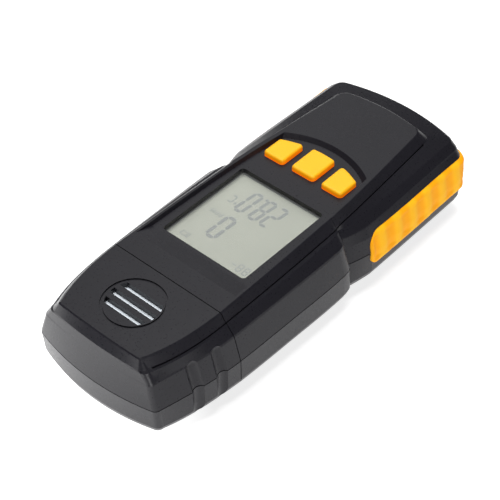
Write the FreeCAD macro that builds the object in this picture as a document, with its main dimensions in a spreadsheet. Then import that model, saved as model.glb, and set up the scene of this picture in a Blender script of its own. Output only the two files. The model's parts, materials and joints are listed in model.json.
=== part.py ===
"""Handheld gas meter: a sensor head, a raised display panel and a handle with two side grips.

X is the width, +Y points to the sensor head, +Z is the display side. The origin is the centre of
the outline on the plane of the flat back. All sizes are millimetres.
"""

import FreeCAD, Part

import math
import os
import re

import Sketcher
from FreeCAD import Placement, Rotation, Vector

os.makedirs("parts", exist_ok=True)
doc = FreeCAD.newDocument("gas_meter")

# ---------------------------------------------------------------- driving dimensions

DIMENSIONS = {
    # levels of the casing, from the back up
    "panel_top": 31.0,
    "parting": 15.6,
    "seam_y": 41.0,
    "waist_y": -11.0,
    "seam_gap": 0.28,
    "wall": 2.0,
    "roof": 2.8,
    "head_roof": 2.0,
    # sunken area of the panel
    "recess_floor": 29.7,
    # display opening and stack
    "opening_width": 33.5,
    "opening_length": 37.3,
    "opening_y": 6.95,
    "opening_corner": 1.2,
    "window_top": 28.0,
    "window_thick": 1.0,
    "glass_thick": 1.7,
    "light_thick": 1.3,
    # keys
    "key_top": 31.5,
    "key_gap": 0.3,
    "key_travel": 1.0,
    # boards
    "board_top": 23.3,
    "board_thick": 1.6,
    "board_width": 40.6,
    "board_length": 79.0,
    "board_y": -3.5,
    "sensor_board_top": 11.0,
    # sensor
    "sensor_y": 54.85,
    "sensor_radius": 10.0,
    "sensor_top": 27.7,
    "ring_outer": 10.1,
    "ring_inner": 9.25,
    "slot_width": 2.1,
    "slot_pitch": 4.05,
    "slot_reach": 8.8,
    # batteries
    "cell_radius": 5.25,
    "cell_length": 44.5,
    "cell_pitch": 10.9,
    "cell_axis_height": 7.55,
    "bay_y": -38.5,
    "bay_width": 33.4,
    "bay_length": 50.2,
    "bay_wall": 1.2,
    "bay_roof": 13.2,
    # battery door
    "door_width": 36.0,
    "door_length": 52.0,
    "door_low": 0.3,
    "door_thick": 1.5,
    "door_gap": 0.2,
    "hinge_radius": 0.75,
    # grips
    "grip_low": 10.6,
    "grip_high": 22.1,
    "grip_front": -19.8,
    "grip_proud": 0.7,
    "grip_depth": 1.0,
    # screws
    "case_screw_x": 23.4,
    "screw_shaft": 1.2,
    "screw_head": 2.3,
}

sheet = doc.addObject("Spreadsheet::Sheet", "sizes")
for row, (alias, value) in enumerate(DIMENSIONS.items(), start=1):
    sheet.set(f"A{row}", alias)
    sheet.set(f"B{row}", str(value))
    sheet.setAlias(f"B{row}", alias)
doc.recompute()


def bound(expression):
    """The expression with each dimension's name pointing at its cell."""
    return re.sub(
        r"[a-z_]+", lambda m: f"sizes.{m[0]}" if m[0] in DIMENSIONS else m[0], str(expression)
    )


def number(expression):
    """The expression's value now."""
    value = sheet.evalExpression(bound(expression))
    return float(getattr(value, "Value", value))


def place(item, x, y, z, rotation=None):
    """Bind the item's position to the sheet."""
    if rotation is not None:
        item.Placement = Placement(Vector(), rotation)
    for letter, expression in zip("xyz", (x, y, z)):
        item.setExpression(f"Placement.Base.{letter}", bound(expression))
    return item


ALONG = {
    "z": Rotation(),
    "x": Rotation(Vector(0, 1, 0), 90),
    "y": Rotation(Vector(1, 0, 0), -90),
}


# ---------------------------------------------------------------- primitives and booleans


def box(name, x, y, low, width, length, height):
    """A box centred on x and y that stands on the level low."""
    item = doc.addObject("Part::Box", name)
    for size, expression in zip(("Length", "Width", "Height"), (width, length, height)):
        item.setExpression(size, bound(expression))
    return place(item, f"({x}) - ({width}) / 2", f"({y}) - ({length}) / 2", low)


def cylinder(name, radius, x, y, z, height, along="z"):
    """A cylinder that starts at x, y, z and runs along one axis."""
    item = doc.addObject("Part::Cylinder", name)
    item.setExpression("Radius", bound(radius))
    item.setExpression("Height", bound(height))
    return place(item, x, y, z, ALONG[along])


def fuse(name, *shapes):
    if len(shapes) == 1:
        return shapes[0]
    item = doc.addObject("Part::MultiFuse", name)
    item.Shapes = list(shapes)
    return item


def cut(name, base, *tools):
    item = doc.addObject("Part::Cut", name)
    item.Base = base
    item.Tool = fuse(f"{name}_tools", *tools)
    return item


def common(name, first, second):
    item = doc.addObject("Part::Common", name)
    item.Base = first
    item.Tool = second
    return item


def feature(name, shape):
    item = doc.addObject("Part::Feature", name)
    item.Shape = shape
    return item


def rounded(name, base, radius, wanted):
    """Fillet the edges of base that the test wanted picks."""
    doc.recompute()
    item = doc.addObject("Part::Fillet", name)
    item.Base = base
    item.Edges = [
        (index, radius, radius) for index, edge in enumerate(base.Shape.Edges, start=1) if wanted(edge)
    ]
    return item


def runs_along(edge, axis):
    """Whether the edge is a straight line along the axis."""
    if not isinstance(edge.Curve, Part.Line):
        return False
    return abs(abs(edge.tangentAt(edge.FirstParameter).dot(axis)) - 1) < 1e-6


def upright(edge):
    return runs_along(edge, Vector(0, 0, 1))


# ---------------------------------------------------------------- bodies from sketches


def origin_plane(body, role):
    return next(item for item in body.Origin.OriginFeatures if item.Role == role)


def new_sketch(body, name, role="XY_Plane", lift=0):
    """An empty sketch on one of the body's own origin planes, raised by lift."""
    sketch = body.newObject("Sketcher::SketchObject", name)
    sketch.AttachmentSupport = [(origin_plane(body, role), "")]
    sketch.MapMode = "FlatFace"
    sketch.setExpression("AttachmentOffset.Base.z", bound(lift))
    return sketch


def hold(sketch, kind, first, second, expression):
    """A distance that follows the sheet. Its two points are swapped where it would be negative."""
    value = number(expression)
    if value < 0:
        first, second, value, expression = second, first, -value, f"-({expression})"
    index = sketch.addConstraint(Sketcher.Constraint(kind, *first, *second, value))
    sketch.setExpression(f"Constraints[{index}]", bound(expression))


def pin_vertex(sketch, line, x, y):
    """Hold the start of a line at x, y, measured from the sketch's origin."""
    for kind, axis, expression in (("DistanceX", -2, x), ("DistanceY", -1, y)):
        if abs(number(expression)) < 1e-9:
            sketch.addConstraint(Sketcher.Constraint("PointOnObject", line, 1, axis))
        else:
            hold(sketch, kind, (-1, 1), (line, 1), expression)


def draw_polygon(sketch, corners):
    """A closed outline of straight lines through the corners."""
    points = [Vector(number(x), number(y), 0) for x, y in corners]
    first = sketch.GeometryCount
    for start, end in zip(points, points[1:] + points[:1]):
        sketch.addGeometry(Part.LineSegment(start, end), False)
    for index, (x, y) in enumerate(corners):
        after = (index + 1) % len(corners)
        sketch.addConstraint(Sketcher.Constraint("Coincident", first + index, 2, first + after, 1))
        pin_vertex(sketch, first + index, x, y)


def draw_rectangle(sketch, x, y, width, length):
    west, east = f"({x}) - ({width}) / 2", f"({x}) + ({width}) / 2"
    south, north = f"({y}) - ({length}) / 2", f"({y}) + ({length}) / 2"
    draw_polygon(sketch, [(west, south), (east, south), (east, north), (west, north)])


def draw_circle(sketch, x, y, radius):
    circle = Part.Circle(Vector(number(x), number(y), 0), Vector(0, 0, 1), number(radius))
    index = sketch.addGeometry(circle, False)
    ring = sketch.addConstraint(Sketcher.Constraint("Radius", index, number(radius)))
    sketch.setExpression(f"Constraints[{ring}]", bound(radius))
    for kind, axis, expression in (("DistanceX", -2, x), ("DistanceY", -1, y)):
        if abs(number(expression)) < 1e-9:
            sketch.addConstraint(Sketcher.Constraint("PointOnObject", index, 3, axis))
        else:
            hold(sketch, kind, (-1, 1), (index, 3), expression)


def new_body(name):
    return doc.addObject("PartDesign::Body", name)


def pad(body, sketch, height):
    item = body.newObject("PartDesign::Pad", f"{body.Name}_pad")
    item.Profile = sketch
    item.setExpression("Length", bound(height))
    return item


def plate(name, x, y, low, width, length, thick, holes=(), window=None):
    """A flat plate made of one sketch: its outline, round holes and an optional square window."""
    body = new_body(name)
    sketch = new_sketch(body, f"{name}_outline", lift=low)
    draw_rectangle(sketch, x, y, width, length)
    for hole_x, hole_y, radius in holes:
        draw_circle(sketch, hole_x, hole_y, radius)
    if window:
        draw_rectangle(sketch, *window)
    pad(body, sketch, thick)
    return body


def disc(name, x, y, low, radius, thick, hole=None):
    """A round plate or a ring."""
    body = new_body(name)
    sketch = new_sketch(body, f"{name}_outline", lift=low)
    draw_circle(sketch, x, y, radius)
    if hole:
        draw_circle(sketch, x, y, hole)
    pad(body, sketch, thick)
    return body


def side_profile(name, corners, width, x=0):
    """An outline in the YZ plane padded across the width, centred on x."""
    body = new_body(name)
    sketch = new_sketch(body, f"{name}_outline", "YZ_Plane", lift=f"({x}) - ({width}) / 2")
    draw_polygon(sketch, corners)
    pad(body, sketch, width)
    return body


def turned(name, profile, x, y, z, rotation=None):
    """A solid of revolution from (radius, height) corners, standing at x, y, z."""
    body = new_body(name)
    sketch = new_sketch(body, f"{name}_profile", "XZ_Plane")
    draw_polygon(sketch, profile)
    spin = body.newObject("PartDesign::Revolution", f"{name}_turn")
    spin.Profile = sketch
    spin.ReferenceAxis = (sketch, ["V_Axis"])
    spin.Angle = 360
    return place(body, x, y, z, rotation)


# ---------------------------------------------------------------- casing

# Half widths of the casing, by level. The head's outlines hold a row of half widths along the
# block, the start of the end corner (half width, y), the end of that corner and the y of the middle.
# The main body's hold a row of half widths and the half width at the waist, and the handle's the
# half width at the waist and then the same as the head's.

HEAD_STATIONS = (41.0, 51.5, 62.0)
HEAD = {
    "panel": ((21.65, 20.95, 19.0), (16.8, 68.4), (15.9, 69.15), 69.5),
    "crease": ((23.55, 23.0, 21.15), (19.1, 68.4), (17.2, 70.7), 71.7),
    "ledge": ((24.3, 23.7, 21.95), (19.9, 68.6), (18.0, 70.9), 71.85),
    "shoulder": ((26.75, 25.6, 23.4), (21.9, 69.1), (20.4, 71.1), 72.7),
    "parting": ((29.3, 28.2, 26.3), (24.5, 69.9), (22.75, 72.0), 75.0),
    "base": ((29.4, 28.3, 26.5), (24.5, 69.1), (22.7, 71.4), 74.8),
}
MAIN_STATIONS = (41.0, 31.0, 17.0, 4.0, -6.5)
MAIN = {
    "panel": ((21.65, 21.5, 21.3, 20.95, 20.6), 20.5),
    "crease": ((23.55, 23.6, 23.55, 23.35, 23.1), 22.5),
    "ledge": ((24.3, 24.5, 24.55, 24.5, 24.3), 22.9),
    "shoulder": ((26.75, 27.05, 27.3, 27.55, 27.6), 24.4),
    "parting": ((29.3, 29.65, 29.95, 30.3, 30.2), 27.8),
    "base": ((29.4, 29.85, 30.2, 30.55, 30.5), 28.7),
}
HANDLE_STATIONS = (-20.5, -31.0, -45.0)
HANDLE = {
    "panel": (20.5, (19.95, 19.1, 17.75), (16.25, -60.2), (13.2, -63.0), -64.4),
    "crease": (22.5, (22.15, 21.4, 20.3), (19.0, -61.6), (15.8, -65.0), -66.9),
    "brow": (22.9, (24.9, 24.85, 24.7), (24.2, -67.6), (21.5, -71.2), -74.4),
    "shoulder": (24.4, (27.0, 27.2, 27.0), (26.5, -68.2), (23.8, -71.7), -75.0),
    "bulge": (25.7, (28.7, 29.2, 29.15), (29.1, -68.0), (25.9, -71.9), -75.0),
    "parting": (27.8, (30.3, 30.4, 30.3), (30.1, -67.6), (26.6, -71.5), -75.0),
    "base": (28.7, (30.4, 30.4, 30.3), (30.1, -67.3), (26.4, -70.9), -74.7),
}

# The levels of each block: outline, height, and how far it is drawn in at the sides and the end.
HEAD_LEVELS = [
    ("base", 0.0, 10.4, 7.0),
    ("base", 4.2, 2.3, 1.9),
    ("base", 5.6, 0.7, 0.6),
    ("base", 7.5, 0.0, 0.0),
    ("parting", 15.6, 0.0, 0.0),
    ("shoulder", 24.1, -0.1, -0.05),
    ("shoulder", 24.7, 0.2, 0.1),
    ("ledge", 27.5, 0.0, 0.0),
    ("crease", 28.0, 0.0, 0.0),
    ("panel", 30.6, -0.2, -0.2),
    ("panel", 31.0, 0.35, 0.2),
]
MAIN_LEVELS = HEAD_LEVELS
HANDLE_LEVELS = [
    ("base", 0.0, 10.4, 3.5),
    ("base", 4.2, 2.3, 1.4),
    ("base", 5.6, 0.7, 0.5),
    ("base", 7.5, 0.0, 0.0),
    ("parting", 15.6, 0.0, 0.0),
    ("bulge", 21.0, 0.0, 0.0),
    ("shoulder", 24.2, -0.1, 0.0),
    ("shoulder", 24.6, 0.15, 0.15),
    ("brow", 26.4, -0.15, -0.15),
    ("brow", 26.75, 0.3, 0.3),
    ("crease", 28.3, 0.0, 0.0),
    ("panel", 30.8, -0.2, -0.2),
    ("panel", 31.0, 0.2, 0.2),
]
BASE_LEVEL = 7.5
CORNER_BULGE = 0.17


def spline(points):
    """A smooth edge through the points."""
    curve = Part.BSplineCurve()
    curve.interpolate(Points=points)
    return curve.toShape()


def corner_arc(start, end):
    """An arc that bulges away from the centre line."""
    across = end - start
    outward = Vector(across.y, -across.x, 0)
    if outward.dot(Vector((start + end).x, (start + end).y, 0)) < 0:
        outward = outward * -1
    middle = (start + end) * 0.5 + outward * CORNER_BULGE
    return Part.Arc(start, middle, end).toShape()


def ring_of(right_edges_points, height, closing):
    """Mirror a half outline about the middle and close it with straight lines and arcs.

    right_edges_points is a list of (kind, points) for the +X side, in order; closing says whether
    the far end is an arc over an apex or a straight line.
    """
    edges = []
    for kind, points in right_edges_points:
        edges.append(edge_of(kind, [Vector(x, y, height) for x, y in points]))
    last_x, last_y = right_edges_points[-1][1][-1]
    far = Vector(last_x, last_y, height)
    mirrored_far = Vector(-last_x, last_y, height)
    if closing is None:
        edges.append(Part.LineSegment(far, mirrored_far).toShape())
    else:
        edges.append(Part.Arc(far, Vector(0, closing, height), mirrored_far).toShape())
    for kind, points in reversed(right_edges_points):
        back = [Vector(-x, y, height) for x, y in reversed(points)]
        edges.append(edge_of(kind, back))
    first_x, first_y = right_edges_points[0][1][0]
    edges.append(
        Part.LineSegment(Vector(-first_x, first_y, height), Vector(first_x, first_y, height)).toShape()
    )
    return Part.Wire(edges)


def edge_of(kind, points):
    if kind == "corner":
        return corner_arc(points[0], points[1])
    return spline(points)


def rounded_end(side, waist):
    """A quarter of an ellipse from a point on the side in to the waist."""
    (half_width, start_y), (waist_width, waist_y) = side, waist
    turns = [math.radians(angle) for angle in (0, 30, 60, 90)]
    across, along = half_width - waist_width, waist_y - start_y
    return [(waist_width + across * math.cos(turn), start_y + along * math.sin(turn)) for turn in turns]


def flared_start(waist, side):
    """A gentle curve from the waist out to a point on the side."""
    (waist_width, waist_y), (half_width, end_y) = waist, side
    middle = (waist_width + 0.58 * (half_width - waist_width), (waist_y + end_y) / 2)
    return [waist, middle, side]


def head_ring(outline, height, side_in, end_in):
    widths, start, end, apex = HEAD[outline]
    seam = HEAD_STATIONS[0]
    shrink = (start[1] - end_in - seam) / (start[1] - seam)
    side = [(width - side_in, seam + (y - seam) * shrink) for width, y in zip(widths, HEAD_STATIONS)]
    side.append((start[0] - side_in, start[1] - end_in))
    corner = [side[-1], (end[0] - side_in, end[1] - end_in)]
    return ring_of([("side", side), ("corner", corner)], height, apex - end_in)


def main_ring(outline, height, side_in, end_in):
    widths, waist = MAIN[outline]
    side = [(width - side_in, y) for width, y in zip(widths, MAIN_STATIONS)]
    end = rounded_end(side[-1], (waist - side_in, number("waist_y")))
    return ring_of([("side", side), ("end", end)], height, None)


def handle_ring(outline, height, side_in, end_in):
    waist, widths, start, end, apex = HANDLE[outline]
    side = [(width - side_in, y) for width, y in zip(widths, HANDLE_STATIONS)]
    side.append((start[0] - side_in, start[1] + end_in))
    start_curve = flared_start((waist - side_in, number("waist_y")), side[0])
    corner = [side[-1], (end[0] - side_in, end[1] + end_in)]
    return ring_of([("start", start_curve), ("side", side), ("corner", corner)], height, apex + end_in)


def block(ring, levels, inset=0.0, roof=0.0, floor=0.0):
    """One block of the casing. inset draws the walls in, roof and floor bring the levels closer."""
    parting = number("parting")
    rings = []
    for outline, height, side_in, end_in in levels:
        if height > parting:
            height -= roof * min(1.0, (height - parting) / 8.0)
        else:
            height += floor * min(1.0, max(0.0, BASE_LEVEL - height) / 3.3)
        rings.append(ring(outline, height, side_in + inset, end_in + inset))
    return Part.makeLoft(rings, True, True)


def body_block(inset=0.0, roof=0.0, floor=0.0):
    """The main body and the handle, which meet at the waist."""
    main = block(main_ring, MAIN_LEVELS, inset, roof, floor)
    handle = block(handle_ring, HANDLE_LEVELS, inset, roof, floor)
    return main.fuse(handle).removeSplitter()


wall = number("wall")
roof = number("roof")
head_roof = number("head_roof")
HALF_GAP = "seam_gap / 2"
LIP_GAP = 0.12
LIP_THICK = 0.85


def head_block(inset=0.0, roof_height=0.0, floor_height=0.0):
    return block(head_ring, HEAD_LEVELS, inset, roof_height, floor_height)


def ring_between(name, build, roof_height, outer, inner):
    """A thin wall inside the casing's own wall, between two depths measured from its inner face."""
    outside = build(wall + outer, roof_height + outer, wall + outer)
    inside = build(wall + inner, roof_height + inner, wall + inner)
    return feature(name, outside.cut(inside))


body_outer = feature("body_outer", body_block())
body_inner = feature("body_inner", body_block(wall, roof, wall))
head_outer = feature("head_outer", head_block())
head_inner = feature("head_inner", head_block(wall, head_roof, wall))

BIG = 200


def above(name, low):
    return box(name, 0, 0, low, BIG, BIG, BIG)


def below(name, high):
    return box(name, 0, 0, f"({high}) - {BIG}", BIG, BIG, BIG)


def span(name, south, north, low, high):
    """A wide box between two places along the length and two levels."""
    middle = f"(({south}) + ({north})) / 2"
    return box(name, 0, middle, low, BIG, f"({north}) - ({south})", f"({high}) - ({low})")


body_end_trim = span("body_end_trim", f"seam_y - {HALF_GAP}", "seam_y + 5", -5, 40)
head_end_trim = span("head_end_trim", "seam_y - 5", f"seam_y + {HALF_GAP}", -5, 40)
body_wall = cut("body_wall", body_outer, body_inner, body_end_trim)
head_wall = cut("head_wall", head_outer, head_inner, head_end_trim)

TONGUE_SOUTH = 2.5
TONGUE_NORTH = 1.2
TONGUE_ROOT = 0.3
tongue = fuse(
    "tongue",
    common(
        "tongue_root",
        ring_between("tongue_root_ring", body_block, head_roof, -0.1, LIP_GAP + LIP_THICK),
        span("tongue_root_span", f"seam_y - {TONGUE_SOUTH}", f"seam_y - {TONGUE_ROOT}", -5, 40),
    ),
    common(
        "tongue_middle",
        ring_between("tongue_middle_ring", body_block, head_roof, LIP_GAP, LIP_GAP + LIP_THICK),
        span("tongue_middle_span", f"seam_y - {TONGUE_SOUTH}", "seam_y", -5, 40),
    ),
    common(
        "tongue_tip",
        ring_between("tongue_tip_ring", head_block, head_roof, LIP_GAP, LIP_GAP + LIP_THICK),
        span("tongue_tip_span", "seam_y", f"seam_y + {TONGUE_NORTH}", -5, 40),
    ),
)

# ---------------------------------------------------------------- groove round the raised panel

GROOVE_HALF = 0.16
GROOVE_FLOOR = 27.35
GROOVE_BAND_HEIGHT = 3.0
GROOVE_NORTH = 67.5
GROOVE_SOUTH = -60.5


def crease_prism(ring, inset):
    """An upright prism inside the crease's outline."""
    return Part.Face(ring("crease", GROOVE_FLOOR, inset, inset)).extrude(Vector(0, 0, GROOVE_BAND_HEIGHT))


def crease_band(name, *rings):
    """A narrow upright band along the crease of blocks that meet end to end."""
    first, *others = [crease_prism(ring, -GROOVE_HALF) for ring in rings]
    outside = first.multiFuse(others) if others else first
    return feature(name, outside.cut([crease_prism(ring, GROOVE_HALF) for ring in rings]))


side_band = span("groove_span", GROOVE_SOUTH, GROOVE_NORTH, 20, 40)
body_groove = common("body_groove", crease_band("body_crease_band", main_ring, handle_ring), side_band)
head_groove = common("head_groove", crease_band("head_crease_band", head_ring), side_band)

# ---------------------------------------------------------------- front case


RECESS_SIDE_SLOPE = 0.6
RECESS_RAMP = 6.3
RECESS_STEP = 1.4


def recess_ring(height):
    """Outline of the sunken area of the panel, from its floor up its sloping sides."""
    rise = (height - number("recess_floor")) / (number("panel_top") - number("recess_floor"))
    side_slope = RECESS_SIDE_SLOPE * rise
    nose_y = 27.0 + RECESS_RAMP * rise
    handle_y = -31.2 - RECESS_STEP * rise
    apex_y = -36.5 - RECESS_STEP * rise
    right = [
        (19.75 + side_slope, nose_y),
        (19.55 + side_slope, 17.0),
        (19.0 + side_slope, -2.6),
        (16.6 + side_slope, handle_y),
    ]
    return ring_of([("side", right)], height, apex_y)


recess_tool = feature(
    "recess_tool",
    Part.makeLoft([recess_ring(number("recess_floor")), recess_ring(number("panel_top") + 0.3)], True, True),
)
opening_box = box("opening_box", 0, "opening_y", 24, "opening_width", "opening_length", 10)
opening_tool = rounded("opening_tool", opening_box, number("opening_corner"), upright)

# Keys: half-width spans of each key, its edge towards the display, and its arc on the other side.
KEY_ARC_APEX = -32.6
KEY_ARC_RADIUS = 36.0
KEYS = {
    "key_left": (-15.9, -8.0, -20.9),
    "key_middle": (-4.5, 4.5, -21.2),
    "key_right": (8.0, 15.9, -20.9),
}
KEY_CORNER = 1.1


def key_arc_y(x, outset):
    """The arc that the keys' lower edges follow."""
    reach = KEY_ARC_RADIUS + outset
    return KEY_ARC_APEX + KEY_ARC_RADIUS - math.sqrt(reach**2 - x**2)


def key_outline(west, east, north, outset, height):
    """A key's face: three straight sides and a side on the arc."""
    west, east, north = west - outset, east + outset, north + outset
    middle = (west + east) / 2
    top_left, top_right = Vector(west, north, height), Vector(east, north, height)
    low_left = Vector(west, key_arc_y(west, outset), height)
    low_right = Vector(east, key_arc_y(east, outset), height)
    low_middle = Vector(middle, key_arc_y(middle, outset), height)
    return Part.Wire(
        [
            Part.LineSegment(top_left, top_right).toShape(),
            Part.LineSegment(top_right, low_right).toShape(),
            Part.Arc(low_right, low_middle, low_left).toShape(),
            Part.LineSegment(low_left, top_left).toShape(),
        ]
    )


def key_prism(span_of_key, outset, low, high, corner):
    """An upright prism on a key's outline with rounded corners."""
    solid = Part.Face(key_outline(*span_of_key, outset, low)).extrude(Vector(0, 0, high - low))
    if corner <= 0:
        return solid
    return solid.makeFillet(corner, [edge for edge in solid.Edges if upright(edge)])


key_gap = number("key_gap")
roof_low = number("panel_top") - roof
key_tools = [
    feature(f"{name}_hole", key_prism(key, key_gap, roof_low - 4, 32, KEY_CORNER + key_gap))
    for name, key in KEYS.items()
]

BOARD_POSTS = [(-17.6, 32.0), (17.6, 32.0), (-17.4, -39.6), (17.4, -39.6)]
CASE_POSTS = [("case_screw_x", 34, 24.6), ("-case_screw_x", 34, 24.6)]
CASE_POSTS += [("case_screw_x", -63.2, 24.2), ("-case_screw_x", -63.2, 24.2)]
POST_FOOT = 8.0
front_posts = []
front_drills = []
for index, (x, y, top) in enumerate(CASE_POSTS):
    front_posts.append(cylinder(f"case_post_{index}", 2.45, x, y, POST_FOOT, f"{top} - {POST_FOOT}"))
    front_drills.append(cylinder(f"case_drill_{index}", "screw_shaft + 0.05", x, y, POST_FOOT - 1, 9.0))
for index, (x, y) in enumerate(BOARD_POSTS):
    front_posts.append(cylinder(f"board_post_{index}", 1.9, x, y, "board_top", "29 - board_top"))
    front_drills.append(cylinder(f"board_drill_{index}", 0.85, x, y, "board_top - 1", 5.0))

front_tongue = common("front_tongue", tongue, above("front_tongue_half", f"parting + {HALF_GAP}"))
front_wall = common("front_wall", body_wall, above("front_half", f"parting + {HALF_GAP}"))

# ---------------------------------------------------------------- grips


def grip_region(name, clearance):
    """Side view of a grip, wide enough to pass through both walls, hollow between them."""
    low, high = number("grip_low") - clearance, number("grip_high") + clearance
    front, rear = number("grip_front") + clearance, -76.0
    slant = 0.9
    top_round, low_round = 5.5, 2.8
    corners = [
        Vector(0, rear, low),
        Vector(0, front - low_round, low),
        Vector(0, front + slant * 0.3, low + low_round),
        Vector(0, front, high - top_round),
        Vector(0, front - top_round, high),
        Vector(0, rear, high),
    ]
    ease = 0.29
    low_mid = Vector(0, front - low_round * ease, low + low_round * ease)
    top_mid = Vector(0, front - top_round * ease, high - top_round * ease)
    edges = [
        Part.LineSegment(corners[0], corners[1]).toShape(),
        Part.Arc(corners[1], low_mid, corners[2]).toShape(),
        Part.LineSegment(corners[2], corners[3]).toShape(),
        Part.Arc(corners[3], top_mid, corners[4]).toShape(),
        Part.LineSegment(corners[4], corners[5]).toShape(),
        Part.LineSegment(corners[5], corners[0]).toShape(),
    ]
    face = Part.Face(Part.Wire(edges))
    half = 22.5 - clearance
    reach = 40.0
    right = face.extrude(Vector(reach - half, 0, 0))
    right.translate(Vector(half, 0, 0))
    left = face.extrude(Vector(half - reach, 0, 0))
    left.translate(Vector(-half, 0, 0))
    return feature(name, Part.makeCompound([right, left]))


def handle_block(inset):
    return block(handle_ring, HANDLE_LEVELS, inset, 0, 0)


grip_depth = number("grip_depth")
grip_seat_core = feature("grip_seat_core", handle_block(grip_depth + 0.05))
grip_seat = cut("grip_seat", grip_region("grip_seat_region", 0.08), grip_seat_core)
grip_skin = cut(
    "grip_skin",
    feature("grip_skin_outer", handle_block(-number("grip_proud"))),
    feature("grip_skin_core", handle_block(grip_depth)),
)
grip_pair = common("grip_pair", grip_skin, grip_region("grip_region", 0))
for name, side in (("grip_left", -1), ("grip_right", 1)):
    common(name, grip_pair, box(f"{name}_half", f"{side} * 50", -50, 0, 100, 100, 40))

front_solid = fuse("front_solid", front_wall, front_tongue, *front_posts)
front_tools = [body_groove, recess_tool, opening_tool, grip_seat, *key_tools, *front_drills]
cut("front_case", front_solid, *front_tools)

# ---------------------------------------------------------------- rear case with battery bay

bay_outer = box(
    "bay_outer",
    0,
    "bay_y",
    0.5,
    "bay_width + 2 * bay_wall",
    "bay_length + 2 * bay_wall",
    "bay_roof + bay_wall - 0.5",
)
bay_inner = box("bay_inner", 0, "bay_y", -1, "bay_width", "bay_length", "bay_roof + 1")
door_pocket = box(
    "door_pocket",
    0,
    "bay_y",
    -1,
    "door_width + 2 * door_gap",
    "door_length + 2 * door_gap",
    "door_low + door_thick + door_gap + 1",
)
HINGE_Y = "bay_y + door_length / 2 - hinge_radius"
HINGE_Z = "door_low + hinge_radius"
HINGE_PIN_REACH = 1.0
hinge_holes = cylinder(
    "hinge_holes",
    "hinge_radius - 0.15 + 0.06",
    f"-(door_width / 2 + door_gap + {HINGE_PIN_REACH})",
    HINGE_Y,
    HINGE_Z,
    f"door_width + 2 * door_gap + 2 * {HINGE_PIN_REACH}",
    "x",
)
latch_notch = box("latch_notch", 0, "bay_y - door_length / 2 - 0.6", -1, 9, 1.6, "door_low + 1.35 + 1")

rear_posts = []
rear_drills = []
for index, (x, y, top) in enumerate(CASE_POSTS):
    rear_posts.append(cylinder(f"rear_post_{index}", 3.5, x, y, 2.4, f"{POST_FOOT} - 0.1 - 2.4"))
    rear_drills.append(cylinder(f"rear_drill_{index}", "screw_shaft + 0.2", x, y, 0, 12.0))
    rear_drills.append(cylinder(f"rear_counterbore_{index}", "screw_head + 0.3", x, y, -1, 6.0))

rear_lip = common(
    "rear_lip",
    ring_between("rear_lip_ring", body_block, roof, LIP_GAP, LIP_GAP + LIP_THICK),
    span("rear_lip_span", -80, "seam_y - 3", "parting - 2.5", "parting + 1.6"),
)
rear_lip_bridge = common(
    "rear_lip_bridge",
    ring_between("rear_bridge_ring", body_block, roof, -0.1, LIP_GAP + LIP_THICK),
    span("rear_bridge_span", -80, "seam_y - 3", "parting - 2.5", "parting - 0.6"),
)
post_clearances = [
    cylinder(f"lip_relief_{index}", 3.0, x, y, "parting - 4", 8.0)
    for index, (x, y, top) in enumerate(CASE_POSTS)
]
rear_lip_whole = fuse("rear_lip_whole", rear_lip, rear_lip_bridge)
rear_lip_trimmed = cut("rear_lip_trimmed", rear_lip_whole, *post_clearances)
rear_wall = common("rear_wall", body_wall, below("rear_half", f"parting - {HALF_GAP}"))
rear_tongue = common("rear_tongue", tongue, below("rear_tongue_half", f"parting - {HALF_GAP}"))
rear_posts_trimmed = common("rear_posts_trimmed", fuse("rear_posts_whole", *rear_posts), body_outer)
rear_solid = fuse("rear_solid", rear_wall, bay_outer, rear_posts_trimmed, rear_lip_trimmed, rear_tongue)
LEAD_RADIUS = 0.65
LEAD_LEVEL = 6.0
LEAD_X = 14.0
lead_holes = [
    cylinder("lead_hole_red", LEAD_RADIUS + 0.15, -LEAD_X, "bay_y + bay_length / 2 - 1", LEAD_LEVEL, 3, "y"),
    cylinder("lead_hole_black", LEAD_RADIUS + 0.15, LEAD_X, "bay_y - bay_length / 2 - 2", LEAD_LEVEL, 3, "y"),
]
rear_tools = [bay_inner, door_pocket, hinge_holes, latch_notch, grip_seat, *lead_holes, *rear_drills]
cut("rear_case", rear_solid, *rear_tools)

# ---------------------------------------------------------------- sensor head

FLUTES = (57.4, 48.5)
FLUTE_RADIUS = 2.7
FLUTE_DEPTH = 0.95
FLUTE_TOP = 23.9


def wall_at(outline, y):
    """Half width of the head's outline at y, between its stations."""
    stations = HEAD_STATIONS
    widths = HEAD[outline][0]
    for first, second, near, far in zip(stations, stations[1:], widths, widths[1:]):
        if y <= second:
            return near + (far - near) * (y - first) / (second - first)
    return widths[-1]


def flute(name, side, y, lower, upper, extend):
    """A round groove down the wall, along the line from one (half width, z) to another."""
    low = Vector(side * (lower[0] + FLUTE_RADIUS - FLUTE_DEPTH), y, lower[1])
    high = Vector(side * (upper[0] + FLUTE_RADIUS - FLUTE_DEPTH), y, upper[1])
    along = high - low
    start = low - along * extend
    groove = Part.makeCylinder(FLUTE_RADIUS, (high - start).Length, start, along)
    return feature(name, groove.fuse(Part.makeSphere(FLUTE_RADIUS, high)))


front_flutes = []
rear_flutes = []
for index, y in enumerate(FLUTES):
    base, middle, top = (wall_at(level, y) for level in ("base", "parting", "shoulder"))
    for side in (-1, 1):
        tag = f"{index}_{side + 1}"
        crest = (top + 0.25, FLUTE_TOP)
        front_flutes.append(flute(f"front_flute_{tag}", side, y, (middle, 15.6), crest, 0.2))
        rear_flutes.append(flute(f"rear_flute_{tag}", side, y, (base, 7.5), (middle, 15.6), 1.2))

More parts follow.
